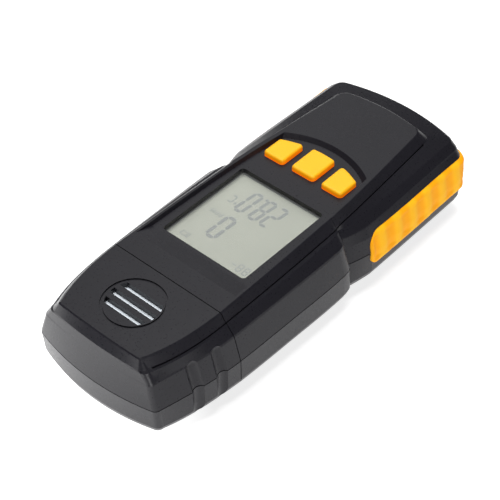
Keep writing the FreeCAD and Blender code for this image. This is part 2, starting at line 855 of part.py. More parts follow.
slot_tools = []
reach_tool = cylinder("slot_reach_tool", "slot_reach", 0, "sensor_y", 20, 15)
for index in (-1, 0, 1):
    bar_y = f"sensor_y + 0.35 + {index} * slot_pitch"
    bar = box(f"slot_bar_{index + 1}", 0, bar_y, 20, "2 * slot_reach", "slot_width", 15)
    slot_tools.append(common(f"slot_tool_{index + 1}", bar, reach_tool))
ring_tool = cut(
    "ring_tool",
    cylinder("ring_tool_outer", "ring_outer", 0, "sensor_y", "panel_top - 0.45", 5),
    cylinder("ring_tool_inner", "ring_inner", 0, "sensor_y", "panel_top - 0.5", 6),
)

HEAD_POSTS = [(-15.2, 45.6, 29.5), (15.2, 45.6, 29.5)]
head_posts = []
head_drills = []
head_rear_posts = []
head_rear_drills = []
for index, (x, y, top) in enumerate(HEAD_POSTS):
    head_posts.append(cylinder(f"head_post_{index}", 2.3, x, y, POST_FOOT, f"{top} - {POST_FOOT}"))
    head_drills.append(cylinder(f"head_drill_{index}", "screw_shaft + 0.05", x, y, POST_FOOT - 1, 9.0))
    head_rear_posts.append(cylinder(f"head_rear_post_{index}", 3.1, x, y, 1.0, f"{POST_FOOT} - 0.1 - 1.0"))
    head_rear_drills.append(cylinder(f"head_rear_drill_{index}", "screw_shaft + 0.2", x, y, 0, 12.0))
    head_rear_drills.append(cylinder(f"head_counterbore_{index}", "screw_head + 0.2", x, y, -1, 5.0))

SENSOR_BOARD_POSTS = [(-9.2, 67.2), (9.2, 67.2)]
SENSOR_BOARD_THICK = 1.2
for index, (x, y) in enumerate(SENSOR_BOARD_POSTS):
    head_rear_posts.append(
        cylinder(f"sensor_post_{index}", 1.8, x, y, 1.5, f"sensor_board_top - {SENSOR_BOARD_THICK} - 1.5")
    )
    head_rear_drills.append(
        cylinder(f"sensor_drill_{index}", 0.85, x, y, f"sensor_board_top - {SENSOR_BOARD_THICK} - 4", 5)
    )


head_lip = cut(
    "head_lip",
    common(
        "head_lip_band",
        ring_between("head_lip_ring", head_block, head_roof, LIP_GAP, LIP_GAP + LIP_THICK),
        span("head_lip_span", "seam_y + 3", 90, "parting - 2.5", "parting + 1.6"),
    ),
    box("head_lip_trim", 0, 41, 0, 100, 6, 40),
)
head_lip_bridge = common(
    "head_lip_bridge",
    ring_between("head_bridge_ring", head_block, head_roof, -0.1, LIP_GAP + LIP_THICK),
    span("head_bridge_span", "seam_y + 3", 90, "parting - 2.5", "parting - 0.6"),
)
front_head_wall = common("front_head_wall", head_wall, above("head_front_half", f"parting + {HALF_GAP}"))
rear_head_wall = common("rear_head_wall", head_wall, below("head_rear_half", f"parting - {HALF_GAP}"))
head_posts_trimmed = common("head_posts_trimmed", fuse("head_posts_whole", *head_rear_posts), head_outer)
cut(
    "sensor_head_front",
    fuse("head_front_solid", front_head_wall, *head_posts),
    *slot_tools,
    ring_tool,
    head_groove,
    *front_flutes,
    *head_drills,
)
cut(
    "sensor_head_rear",
    fuse("head_rear_solid", rear_head_wall, head_posts_trimmed, head_lip, head_lip_bridge),
    *rear_flutes,
    *head_rear_drills,
)

# ---------------------------------------------------------------- keypad

key_top = number("key_top")
KEY_FLANGE_TOP = roof_low - 0.1
KEY_FLANGE_LOW = roof_low - 1.0
KEY_STEM_LOW = number("board_top") + 1.75
KEY_EDGE = 0.85
KEY_SWELL = 0.12
for name, key in KEYS.items():
    cap = key_prism(key, KEY_SWELL, KEY_FLANGE_LOW, key_top, KEY_CORNER)
    rim = [edge for edge in cap.Edges if edge.BoundBox.ZMin > key_top - 1e-3]
    cap = cap.makeFillet(KEY_EDGE, rim)
    flange = key_prism(key, 0.6, KEY_FLANGE_LOW, KEY_FLANGE_TOP, KEY_CORNER + 0.6)
    stem = key_prism(key, -1.6, KEY_STEM_LOW, KEY_FLANGE_LOW + 0.5, 0)
    feature(name, cap.fuse([flange, stem]).removeSplitter())

MAT_TOP = roof_low - 0.05
WEB_OUTSET = (0.75, 1.15)
MAT_LOW = roof_low - 1.05
MAT_HALF_WIDTH = 17.4
MAT_LENGTH = 19.0
MAT_SOUTH = -35.8
mat_corner = Vector(-MAT_HALF_WIDTH, MAT_SOUTH, MAT_LOW)
mat_slab = Part.makeBox(2 * MAT_HALF_WIDTH, MAT_LENGTH, MAT_TOP - MAT_LOW, mat_corner)
skirt_corner = Vector(-MAT_HALF_WIDTH, MAT_SOUTH, number("board_top"))
mat_skirt = Part.makeBox(2 * MAT_HALF_WIDTH, MAT_LENGTH, MAT_LOW - number("board_top"), skirt_corner)
SKIRT_WALL = 0.9
mat_hollow = Part.makeBox(
    2 * (MAT_HALF_WIDTH - SKIRT_WALL),
    MAT_LENGTH - 2 * SKIRT_WALL,
    MAT_LOW - number("board_top"),
    Vector(-MAT_HALF_WIDTH + SKIRT_WALL, MAT_SOUTH + SKIRT_WALL, number("board_top")),
)
mat = mat_slab.fuse(mat_skirt.cut(mat_hollow))
for key in KEYS.values():
    mat = mat.cut(key_prism(key, WEB_OUTSET[1] + 0.05, MAT_LOW - 1, MAT_TOP + 1, KEY_CORNER + WEB_OUTSET[1]))
feature("keypad_mat", mat.common(body_block(wall + 0.15, roof + 0.05, wall)).removeSplitter())

PILL_RADIUS = 2.2
PILL_THICK = 0.4
for name, key in KEYS.items():
    side = name.split("_")[1]
    outer = key_prism(key, WEB_OUTSET[1], MAT_LOW + 0.2, MAT_LOW + 0.6, KEY_CORNER + WEB_OUTSET[1])
    inner = key_prism(key, WEB_OUTSET[0], MAT_LOW, MAT_TOP, KEY_CORNER + WEB_OUTSET[0])
    feature(f"key_web_{side}", outer.cut(inner))
    disc(f"key_pill_{side}", (key[0] + key[1]) / 2, -26.2, KEY_STEM_LOW - PILL_THICK, PILL_RADIUS, PILL_THICK)

# ---------------------------------------------------------------- display stack

WINDOW_BORDER = 1.3
plate(
    "window_gasket",
    0,
    "opening_y",
    "window_top",
    f"opening_width + 2 * {WINDOW_BORDER}",
    f"opening_length + 2 * {WINDOW_BORDER}",
    "panel_top - roof - window_top",
    window=(0, "opening_y", "opening_width + 0.4", "opening_length + 0.4"),
)
plate(
    "lcd_window",
    0,
    "opening_y",
    "window_top - window_thick",
    f"opening_width + 2 * {WINDOW_BORDER}",
    f"opening_length + 2 * {WINDOW_BORDER}",
    "window_thick",
)
LCD_TOP = "window_top - window_thick - 0.15"
plate(
    "lcd_glass",
    0,
    "opening_y",
    f"{LCD_TOP} - glass_thick",
    "opening_width + 0.6",
    "opening_length + 0.2",
    "glass_thick",
)
plate(
    "lcd_backlight",
    0,
    "opening_y",
    f"{LCD_TOP} - glass_thick - light_thick",
    "opening_width - 0.6",
    "opening_length - 5",
    "light_thick",
)
LCD_FOOT = f"({LCD_TOP} - glass_thick - board_top)"
for name, side in (("lcd_contact_strip_upper", 1), ("lcd_contact_strip_lower", -1)):
    strip_y = f"opening_y + {side} * (opening_length / 2 - 1.3)"
    box(name, 0, strip_y, "board_top", "opening_width - 3", 1.8, LCD_FOOT)
FRAME_HEIGHT = "window_top - window_thick - board_top"
frame_box = box("lcd_frame_outer", 0, "opening_y", "board_top", 36.1, 39.7, FRAME_HEIGHT)
frame_room = box("lcd_frame_room", 0, "opening_y", 20, "opening_width + 0.9", "opening_length + 0.5", 10)
cut("lcd_frame", frame_box, frame_room)

# ---------------------------------------------------------------- main board and what sits on it

plate(
    "main_board",
    0,
    "board_y",
    "board_top - board_thick",
    "board_width",
    "board_length",
    "board_thick",
    holes=[(x, y, 1.05) for x, y in BOARD_POSTS],
)
BOARD_LOW = "board_top - board_thick"


def under_board(height):
    return f"{BOARD_LOW} - {height}"


chip_body = box("chip_body", 2, 6, under_board(1.6), 10, 10, 1.4)
CHIP_LEGS = 8
LEG_PITCH = 1.1
leg_shapes = []
for index in range(CHIP_LEGS):
    offset = (index - (CHIP_LEGS - 1) / 2) * LEG_PITCH
    for side in (-1, 1):
        tag = f"{index}_{side + 1}"
        leg_x, leg_y = f"2 + {side} * 5.5", f"6 + {side} * 5.5"
        leg_shapes.append(box(f"chip_leg_x_{tag}", leg_x, 6 + offset, under_board(0.5), 1.6, 0.4, 0.5))
        leg_shapes.append(box(f"chip_leg_y_{tag}", 2 + offset, leg_y, under_board(0.5), 0.4, 1.6, 0.5))
fuse("microcontroller", chip_body, *leg_shapes)
rounded("crystal", box("crystal_block", -9, 12, under_board(3.4), 4.6, 10.8, 3.4), 2.0, upright)
turned(
    "capacitor",
    [(0, 0), (2.4, 0), (2.4, 4.7), (2.15, 5.0), (2.15, 5.3), (2.4, 5.6), (2.4, 6.2), (0, 6.2)],
    13,
    22,
    BOARD_LOW,
    Rotation(Vector(1, 0, 0), 180),
)
BUZZER_PROFILE = [(1.0, 0), (5.8, 0), (5.8, 5.4), (0, 5.4), (0, 1.2), (1.0, 1.2)]
turned("buzzer", BUZZER_PROFILE, -12.5, 24.8, under_board(5.4))
connector_block = box("connector_block", 6, 32.6, under_board(4.2), 10.2, 4.6, 4.2)
connector_mouth = box("connector_mouth", 6, 34.2, under_board(3.4), 8.2, 3.4, 2.6)
cut("board_connector", connector_block, connector_mouth)

# ---------------------------------------------------------------- sensor, its board and its cable

plate(
    "sensor_board",
    0,
    57,
    f"sensor_board_top - {SENSOR_BOARD_THICK}",
    23.0,
    24.0,
    SENSOR_BOARD_THICK,
    holes=[(x, y, 1.05) for x, y in SENSOR_BOARD_POSTS],
)
PIN_LENGTH = 1.2
SENSOR_LOW = f"(sensor_board_top + {PIN_LENGTH})"
turned(
    "gas_sensor",
    [
        (0, 0),
        ("sensor_radius - 0.8", 0),
        ("sensor_radius", 0.8),
        ("sensor_radius", f"sensor_top - {SENSOR_LOW} - 3.4"),
        ("sensor_radius - 0.9", f"sensor_top - {SENSOR_LOW} - 3.0"),
        ("sensor_radius - 0.9", f"sensor_top - {SENSOR_LOW}"),
        (4.5, f"sensor_top - {SENSOR_LOW}"),
        (4.5, f"sensor_top - {SENSOR_LOW} - 0.6"),
        (0, f"sensor_top - {SENSOR_LOW} - 0.6"),
    ],
    0,
    "sensor_y",
    SENSOR_LOW,
)
SENSOR_PIN_CIRCLE = 6.75
pins = []
for index in range(3):
    angle = math.radians(90 + 120 * index)
    pins.append(
        cylinder(
            f"sensor_pin_{index}",
            0.75,
            SENSOR_PIN_CIRCLE * math.cos(angle),
            f"sensor_y + {SENSOR_PIN_CIRCLE * math.sin(angle)}",
            "sensor_board_top",
            PIN_LENGTH,
        )
    )
fuse("sensor_pins", *pins)
disc("sensor_gasket", 0, "sensor_y", "sensor_top", 9.0, "panel_top - head_roof - 0.6 - sensor_top", hole=8.0)
disc("dust_filter", 0, "sensor_y", "panel_top - head_roof - 0.6", 10.4, 0.6)
PLUG_HEIGHT = 3.6
PLUG_LOW = f"sensor_board_top - {SENSOR_BOARD_THICK} - {PLUG_HEIGHT}"
plug_block = box("plug_block", 6, 47.2, PLUG_LOW, 10.2, 4.2, PLUG_HEIGHT)
plug_mouth = box("plug_mouth", 6, 45.6, f"{PLUG_LOW} + 0.7", 8.2, 3.4, 2.2)
cut("sensor_connector", plug_block, plug_mouth)
CABLE_THICK = 0.9
UPPER_LEVEL = 20.0
LOWER_LEVEL = 8.5
side_profile(
    "sensor_cable",
    [
        (34.0, UPPER_LEVEL),
        (37.6, UPPER_LEVEL),
        (40.2, 18.2),
        (41.4, 10.6),
        (43.2, LOWER_LEVEL),
        (46.4, LOWER_LEVEL),
        (46.4, LOWER_LEVEL - CABLE_THICK),
        (42.8, LOWER_LEVEL - CABLE_THICK),
        (40.6, 10.2),
        (39.5, 17.6),
        (37.3, UPPER_LEVEL - CABLE_THICK),
        (34.0, UPPER_LEVEL - CABLE_THICK),
    ],
    7.6,
    x=6,
)

# ---------------------------------------------------------------- batteries, contacts and leads

CONTACT_THICK = 0.4
NUB = 0.9
BAY_NORTH = "(bay_y + bay_length / 2)"
BAY_SOUTH = "(bay_y - bay_length / 2)"
CELL_TIP_GAP = CONTACT_THICK
FACING = {1: Rotation(Vector(1, 0, 0), -90), -1: Rotation(Vector(1, 0, 0), 90)}
CELLS = {"battery_1": (-1, 1), "battery_2": (0, -1), "battery_3": (1, 1)}
for name, (column, facing) in CELLS.items():
    plus_wall = BAY_NORTH if facing == 1 else BAY_SOUTH
    base_y = f"{plus_wall} - {facing} * ({CELL_TIP_GAP} + cell_length)"
    turned(
        name,
        [
            (0, 0),
            ("cell_radius - 0.6", 0),
            ("cell_radius", 0.5),
            ("cell_radius", f"cell_length - {NUB} - 0.8"),
            ("cell_radius - 0.7", f"cell_length - {NUB}"),
            (1.9, f"cell_length - {NUB}"),
            (1.9, "cell_length - 0.15"),
            (1.7, "cell_length"),
            (0, "cell_length"),
        ],
        f"{column} * cell_pitch",
        base_y,
        "cell_axis_height",
        FACING[facing],
    )

SPRING_WIRE = 0.35
SPRING_TURNS = 4
SPRING_RADIUS = (3.3, 2.3)


def wire_point(turn, height):
    """A point of the wire's centre line, a number of turns up the cone."""
    rise = turn / SPRING_TURNS
    radius = SPRING_RADIUS[0] + (SPRING_RADIUS[1] - SPRING_RADIUS[0]) * rise
    angle = 2 * math.pi * turn
    return Vector(radius * math.cos(angle), radius * math.sin(angle), height * rise)


def cell_spring(height):
    """A wire wound on a cone, squeezed between its plate and the cell: four arcs to a turn."""
    arcs = []
    for quarter in range(4 * SPRING_TURNS):
        start, middle, end = (wire_point((quarter + part) / 4, height) for part in (0, 0.5, 1))
        arcs.append(Part.Arc(start, middle, end).toShape())
    first = arcs[0]
    foot = first.valueAt(first.FirstParameter)
    along = first.tangentAt(first.FirstParameter)
    section = Part.Wire([Part.Circle(foot, along, SPRING_WIRE).toShape()])
    return Part.Wire(arcs).makePipeShell([section], True, False)


spring_room = number("bay_length - cell_length") - 2 * CONTACT_THICK
wound_height = spring_room - 2 * SPRING_WIRE - 0.1
for index, (column, facing) in enumerate(CELLS.values(), start=1):
    plate_y = number(BAY_SOUTH if facing == 1 else BAY_NORTH) + facing * (CONTACT_THICK + SPRING_WIRE + 0.05)
    spring = feature(f"battery_spring_{index}", cell_spring(wound_height))
    spring.Placement = Placement(
        Vector(number("cell_pitch") * column, plate_y, number("cell_axis_height")), FACING[facing]
    )

CONTACT_WIDTH = 8.6
CONTACT_HEIGHT = 8.4
CONTACTS = {
    "contact_plus": (BAY_NORTH, -1, -1, -1),
    "contact_bridge_south": (BAY_SOUTH, 1, -1, 0),
    "contact_bridge_north": (BAY_NORTH, -1, 0, 1),
    "contact_minus": (BAY_SOUTH, 1, 1, 1),
}
for name, (wall_y, inward, first, last) in CONTACTS.items():
    width = f"({last - first}) * cell_pitch + {CONTACT_WIDTH}"
    box(
        name,
        f"{(first + last) / 2} * cell_pitch",
        f"{wall_y} + {inward} * {CONTACT_THICK} / 2",
        f"cell_axis_height - {CONTACT_HEIGHT} / 2",
        width,
        CONTACT_THICK,
        CONTACT_HEIGHT,
    )

def lead(name, corners, bend):
    """An insulated wire along straight runs joined by arcs."""
    points = [Vector(*(number(part) for part in corner)) for corner in corners]
    edges = []
    start = points[0]
    for before, corner, after in zip(points, points[1:], points[2:]):
        incoming = (corner - before).normalize()
        outgoing = (after - corner).normalize()
        half_turn = incoming.getAngle(outgoing) / 2
        setback = bend * math.tan(half_turn)
        first, last = corner - incoming * setback, corner + outgoing * setback
        inward = (outgoing - incoming).normalize()
        middle = corner + inward * (bend / math.cos(half_turn) - bend)
        edges.append(Part.LineSegment(start, first).toShape())
        edges.append(Part.Arc(first, middle, last).toShape())
        start = last
    edges.append(Part.LineSegment(start, points[-1]).toShape())
    section = Part.Wire([Part.Circle(points[0], points[1] - points[0], LEAD_RADIUS).toShape()])
    return feature(name, Part.Wire(edges).makePipeShell([section], True, False))


LEAD_TOP = f"{BOARD_LOW} - 0.05"
LEAD_STAND_OFF = f"(bay_wall + {LEAD_RADIUS} + 2.2)"
OVER_BAY = f"bay_roof + bay_wall + {LEAD_RADIUS} + 0.3"
lead(
    "lead_red",
    [
        (-LEAD_X, f"{BAY_NORTH} + 0.02", LEAD_LEVEL),
        (-LEAD_X, f"{BAY_NORTH} + {LEAD_STAND_OFF}", LEAD_LEVEL),
        (-LEAD_X, f"{BAY_NORTH} + {LEAD_STAND_OFF}", LEAD_TOP),
    ],
    2.2,
)
lead(
    "lead_black",
    [
        (LEAD_X, f"{BAY_SOUTH} - 0.02", LEAD_LEVEL),
        (LEAD_X, f"{BAY_SOUTH} - {LEAD_STAND_OFF}", LEAD_LEVEL),
        (LEAD_X, f"{BAY_SOUTH} - {LEAD_STAND_OFF}", OVER_BAY),
        (LEAD_X, -22.0, OVER_BAY),
        (LEAD_X, -22.0, LEAD_TOP),
    ],
    2.2,
)

# ---------------------------------------------------------------- battery door

slab_length = "door_length - hinge_radius"
slab_y = "bay_y - hinge_radius / 2"
door_slab = box("door_slab", 0, slab_y, "door_low", "door_width", slab_length, "door_thick")
door_plate = rounded("door_plate", door_slab, 1.2, lambda edge: upright(edge) and edge.BoundBox.YMax < -60)
door_roll = cylinder("door_roll", "hinge_radius", "-door_width / 2", HINGE_Y, HINGE_Z, "door_width", "x")
door_pins = cylinder(
    "door_pins",
    "hinge_radius - 0.15",
    f"-(door_width / 2 + door_gap + {HINGE_PIN_REACH} - 0.1)",
    HINGE_Y,
    HINGE_Z,
    f"door_width + 2 * (door_gap + {HINGE_PIN_REACH} - 0.1)",
    "x",
)
door_latch = box("door_latch", 0, "bay_y - door_length / 2 - 0.35", "door_low + 0.5", 7.5, 1.1, 0.6)
GRIP_LINES = 5
thumb_cuts = [
    box(
        f"thumb_cut_{index}",
        0,
        f"bay_y - door_length / 2 + 4.5 + {index} * 1.6",
        "door_low - 0.5",
        14,
        0.8,
        0.9,
    )
    for index in range(GRIP_LINES)
]
cut("battery_door", fuse("door_solid", door_plate, door_roll, door_pins, door_latch), *thumb_cuts)

# ---------------------------------------------------------------- screws


def screw(name, x, y, seat, shaft, head, length, head_height, up):
    """A pan-head screw: its seat is the level under its head, and up is where its shaft points."""
    cross_width = 0.28 * head
    solid = turned(
        f"{name}_blank",
        [(0, 0), (head * 0.8, 0), (head, head_height * 0.45), (head, head_height)]
        + [(shaft, head_height), (shaft, head_height + length - 0.8), (0, head_height + length)],
        x,
        y,
        f"{seat} - {up} * {head_height}",
        Rotation() if up == 1 else Rotation(Vector(1, 0, 0), 180),
    )
    face = f"{seat} - {up} * {head_height}"
    bars = [
        box(f"{name}_bar_{axis}", x, y, f"{face} - {head_height} * 0.5", width, length_of_bar, head_height)
        for axis, width, length_of_bar in (("x", 1.3 * head, cross_width), ("y", cross_width, 1.3 * head))
    ]
    return cut(f"{name}_one", solid, *bars)


def screw_set(name, places, **sizes):
    screws = [screw(f"{name}_{index}", x, y, **sizes) for index, (x, y) in enumerate(places)]
    group = doc.addObject("Part::Compound", name)
    group.Links = screws


screw_set(
    "case_screws",
    [(x, y) for x, y, _ in CASE_POSTS],
    seat="5.0",
    shaft="screw_shaft",
    head=2.3,
    length=9.0,
    head_height=1.6,
    up=1,
)
screw_set(
    "head_screws",
    [(x, y) for x, y, _ in HEAD_POSTS],
    seat="4.0",
    shaft="screw_shaft",
    head=2.3,
    length=10.0,
    head_height=1.6,
    up=1,
)
screw_set("board_screws", BOARD_POSTS, seat=BOARD_LOW, shaft=0.8, head=1.8, length=5.0, head_height=1.2, up=1)
screw_set(
    "sensor_board_screws",
    SENSOR_BOARD_POSTS,
    seat="sensor_board_top",
    shaft=0.8,
    head=1.7,
    length=4.5,
    head_height=1.2,
    up=-1,
)

# ---------------------------------------------------------------- checks and files

NODES = """
front_case rear_case sensor_head_front sensor_head_rear grip_left grip_right battery_door
key_left key_middle key_right keypad_mat key_web_left key_web_middle key_web_right
key_pill_left key_pill_middle key_pill_right
window_gasket lcd_window lcd_glass lcd_backlight lcd_contact_strip_upper lcd_contact_strip_lower lcd_frame
main_board microcontroller crystal capacitor buzzer board_connector
sensor_board gas_sensor sensor_pins sensor_gasket dust_filter sensor_connector sensor_cable
battery_1 battery_2 battery_3 battery_spring_1 battery_spring_2 battery_spring_3
contact_plus contact_bridge_south contact_bridge_north contact_minus lead_red lead_black
case_screws head_screws board_screws sensor_board_screws
""".split()

doc.recompute()
for item in doc.Objects:
    if {"Invalid", "Error"} & set(item.State):
        raise RuntimeError(f"{item.Name} is {item.State}")
for name in NODES:
    item = doc.getObject(name)
    item.Label = name
    shape = item.Shape
    if shape.isNull() or not shape.isValid() or not shape.Solids:
        raise RuntimeError(f"{name} has no valid solid")
    print(f"{name:26s} solids {len(shape.Solids):2d}  volume {shape.Volume:10.2f}")
    shape.exportStep(f"parts/{name}.step")
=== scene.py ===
import json
import math

import bmesh
import bpy
from mathutils import Matrix, Vector


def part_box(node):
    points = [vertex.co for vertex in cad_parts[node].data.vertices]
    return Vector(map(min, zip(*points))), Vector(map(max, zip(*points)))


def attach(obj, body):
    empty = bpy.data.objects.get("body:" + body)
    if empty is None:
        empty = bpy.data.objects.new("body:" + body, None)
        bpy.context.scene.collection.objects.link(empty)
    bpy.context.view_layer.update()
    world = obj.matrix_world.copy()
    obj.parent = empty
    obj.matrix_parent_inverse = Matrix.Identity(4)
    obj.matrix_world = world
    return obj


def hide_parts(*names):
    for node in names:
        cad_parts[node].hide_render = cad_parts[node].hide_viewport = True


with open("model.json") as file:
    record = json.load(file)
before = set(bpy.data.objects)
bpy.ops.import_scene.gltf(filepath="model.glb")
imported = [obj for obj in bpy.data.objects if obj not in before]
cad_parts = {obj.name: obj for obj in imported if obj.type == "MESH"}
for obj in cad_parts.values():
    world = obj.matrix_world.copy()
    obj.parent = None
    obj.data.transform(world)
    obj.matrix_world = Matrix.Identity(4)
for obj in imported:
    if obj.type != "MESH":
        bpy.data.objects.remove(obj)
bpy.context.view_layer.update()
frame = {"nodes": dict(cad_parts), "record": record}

# A handheld gas meter lying on its back: X is its width, +Y points to its sensor head, +Z is the
# display side. Lengths are metres; MM turns millimetres into them.
MM = 0.001
NODES = frame["nodes"]

# ---------------------------------------------------------------- shader helpers


def new_material(name):
    """An empty node material with a Principled shader: returns material, nodes, links, shader."""
    material = bpy.data.materials.new(name)
    material.use_nodes = True
    tree = material.node_tree
    shader = tree.nodes["Principled BSDF"]
    return material, tree.nodes, tree.links, shader


def object_coordinates(nodes, links, stretch=(1.0, 1.0, 1.0)):
    """Object space coordinates, which are metres in the frame, stretched along each axis."""
    source = nodes.new("ShaderNodeTexCoord")
    mapping = nodes.new("ShaderNodeMapping")
    mapping.inputs["Scale"].default_value = stretch
    links.new(source.outputs["Object"], mapping.inputs["Vector"])
    return mapping.outputs["Vector"]


def noise(nodes, links, vector, scale, detail=3.0, rough=0.55):
    texture = nodes.new("ShaderNodeTexNoise")
    texture.inputs["Scale"].default_value = scale
    texture.inputs["Detail"].default_value = detail
    texture.inputs["Roughness"].default_value = rough
    links.new(vector, texture.inputs["Vector"])
    return texture.outputs["Fac"]


def ramp(nodes, links, factor, stops):
    """A colour ramp with (place, colour) stops."""
    node = nodes.new("ShaderNodeValToRGB")
    elements = node.color_ramp.elements
    while len(elements) < len(stops):
        elements.new(0.5)
    for element, (place, colour) in zip(elements, stops):
        element.position = place
        element.color = (*colour, 1.0)
    links.new(factor, node.inputs["Fac"])
    return node.outputs["Color"]


def spread(nodes, links, value, low, high, source=(0.0, 1.0)):
    """Map a value from the source range to low..high."""
    node = nodes.new("ShaderNodeMapRange")
    node.inputs["From Min"].default_value = source[0]
    node.inputs["From Max"].default_value = source[1]
    node.inputs["To Min"].default_value = low
    node.inputs["To Max"].default_value = high
    links.new(value, node.inputs["Value"])
    return node.outputs["Result"]


def bump(nodes, links, height, depth, strength=1.0, under=None):
    """A bump whose full height is depth metres, on top of another bump if one is given."""
    node = nodes.new("ShaderNodeBump")
    node.inputs["Strength"].default_value = strength
    node.inputs["Distance"].default_value = depth
    links.new(height, node.inputs["Height"])
    if under is not None:
        links.new(under, node.inputs["Normal"])
    return node.outputs["Normal"]


def scaled(colour, factor):
    return tuple(min(1.0, channel * factor) for channel in colour)


def moulded(name, colour, roughness, grain=1600.0, grain_depth=0.03, mottle=0.12, specular=0.5):
    """Moulded plastic or rubber: a spark-eroded grain, with slight unevenness of colour and gloss."""
    material, nodes, links, shader = new_material(name)
    vector = object_coordinates(nodes, links)
    broad = noise(nodes, links, vector, 90.0, 2.0)
    fine = noise(nodes, links, vector, grain, 4.0, 0.6)
    tint = ramp(
        nodes, links, broad, [(0.3, scaled(colour, 1 - mottle)), (0.7, scaled(colour, 1 + mottle))]
    )
    links.new(tint, shader.inputs["Base Color"])
    gloss = spread(nodes, links, fine, roughness - 0.06, roughness + 0.08, (0.3, 0.7))
    links.new(gloss, shader.inputs["Roughness"])
    links.new(bump(nodes, links, fine, grain_depth * MM, 0.6), shader.inputs["Normal"])
    shader.inputs["Specular IOR Level"].default_value = specular
    return material


def metal(name, colour, roughness, brush=(1.0, 1.0, 0.06)):
    """Plated or brushed metal with fine drawn lines."""
    material, nodes, links, shader = new_material(name)
    vector = object_coordinates(nodes, links, brush)
    lines = noise(nodes, links, vector, 2600.0, 4.0, 0.6)
    tint = ramp(nodes, links, lines, [(0.3, scaled(colour, 0.8)), (0.7, scaled(colour, 1.1))])
    links.new(tint, shader.inputs["Base Color"])
    gloss = spread(nodes, links, lines, roughness - 0.08, roughness + 0.12, (0.3, 0.7))
    links.new(gloss, shader.inputs["Roughness"])
    links.new(bump(nodes, links, lines, 0.01 * MM, 0.5), shader.inputs["Normal"])
    shader.inputs["Metallic"].default_value = 1.0
    return material


# ---------------------------------------------------------------- materials


# Heights over which the keys get their painted shade and their painted glow down the sides.
KEY_SIDE_SHADE_REACH = (29.4 * MM, 31.5 * MM)
KEY_PAINTED_GLOW_REACH = (29.4 * MM, 31.4 * MM)
KEY_SIDE_PAINTED_GLOW = 0.9
CELL_TINT_REACH = (-64.0 * MM, -14.0 * MM)
WAVE_PITCH = 8.0 * MM
WAVE_PHASE = -25.6 * MM


def key_silicone():
    """Yellow silicone with painted shade and painted light down its sides: deeper orange lower down, and a
    glow that stands in for light let through.
    """
    material, nodes, links, shader = new_material("key_silicone")
    vector = object_coordinates(nodes, links)
    split = nodes.new("ShaderNodeSeparateXYZ")
    links.new(vector, split.inputs["Vector"])
    # Painted shade: the colour deepens from yellow to dark orange towards the bottom of each key.
    height = spread(nodes, links, split.outputs["Z"], 0.0, 1.0, KEY_SIDE_SHADE_REACH)
    tint = ramp(
        nodes,
        links,
        height,
        [
            (0.0, (0.95, 0.12, 0.0)),
            (0.4, (1.0, 0.25, 0.0)),
            (0.8, (1.0, 0.43, 0.004)),
            (0.98, (1.0, 0.52, 0.008)),
        ],
    )
    links.new(tint, shader.inputs["Base Color"])
    # Painted light: the sides glow, brightest at the bottom, standing in for light let through the silicone.
    glow = spread(nodes, links, split.outputs["Z"], KEY_SIDE_PAINTED_GLOW, 0.0, KEY_PAINTED_GLOW_REACH)
    links.new(glow, shader.inputs["Emission Strength"])
    links.new(tint, shader.inputs["Emission Color"])
    fine = noise(nodes, links, vector, 1900.0, 3.0)
    links.new(spread(nodes, links, fine, 0.42, 0.58), shader.inputs["Roughness"])
    links.new(bump(nodes, links, fine, 0.02 * MM, 0.4), shader.inputs["Normal"])
    shader.inputs["Subsurface Weight"].default_value = 0.15
    shader.inputs["Subsurface Radius"].default_value = (1.0, 0.35, 0.08)
    shader.inputs["Subsurface Scale"].default_value = 0.6 * MM
    shader.inputs["Specular IOR Level"].default_value = 0.35
    return material


def grip_rubber():
    """Soft yellow-orange rubber, with painted shade in the valleys of its waves: a little deeper in colour
    there.
    """
    material, nodes, links, shader = new_material("grip_rubber")
    vector = object_coordinates(nodes, links)
    split = nodes.new("ShaderNodeSeparateXYZ")
    links.new(vector, split.inputs["Vector"])
    phase = nodes.new("ShaderNodeMath")
    phase.operation = "MULTIPLY_ADD"
    phase.inputs[1].default_value = 2 * math.pi / WAVE_PITCH
    phase.inputs[2].default_value = -2 * math.pi * WAVE_PHASE / WAVE_PITCH
    links.new(split.outputs["Y"], phase.inputs[0])
    swing = nodes.new("ShaderNodeMath")
    swing.operation = "COSINE"
    links.new(phase.outputs["Value"], swing.inputs[0])
    # Painted shade: the colour deepens in the wave valleys, where the grooves fall into shade, and is
    # lighter on the crests.
    painted_wave_shading = spread(nodes, links, swing.outputs["Value"], 0.0, 1.0, (-1.0, 1.0))
    tint = ramp(nodes, links, painted_wave_shading, [(0.2, (1.0, 0.4, 0.004)), (0.8, (1.0, 0.5, 0.012))])
    links.new(tint, shader.inputs["Base Color"])
    fine = noise(nodes, links, vector, 1500.0, 4.0, 0.6)
    links.new(spread(nodes, links, fine, 0.54, 0.68, (0.3, 0.7)), shader.inputs["Roughness"])
    links.new(bump(nodes, links, fine, 0.02 * MM, 0.6), shader.inputs["Normal"])
    shader.inputs["Specular IOR Level"].default_value = 0.12
    return material


def display_face():
    """The display's grey-green reflector, a little cloudy and very finely grained."""
    material, nodes, links, shader = new_material("display_face")
    vector = object_coordinates(nodes, links)
    cloud = noise(nodes, links, vector, 45.0, 2.0)
    fine = noise(nodes, links, vector, 5200.0, 2.0)
    tint = ramp(nodes, links, cloud, [(0.25, (0.31, 0.325, 0.26)), (0.75, (0.36, 0.375, 0.3))])
    links.new(tint, shader.inputs["Base Color"])
    links.new(spread(nodes, links, fine, 0.32, 0.42), shader.inputs["Roughness"])
    links.new(bump(nodes, links, fine, 0.006 * MM, 0.5), shader.inputs["Normal"])
    shader.inputs["Specular IOR Level"].default_value = 0.4
    return material


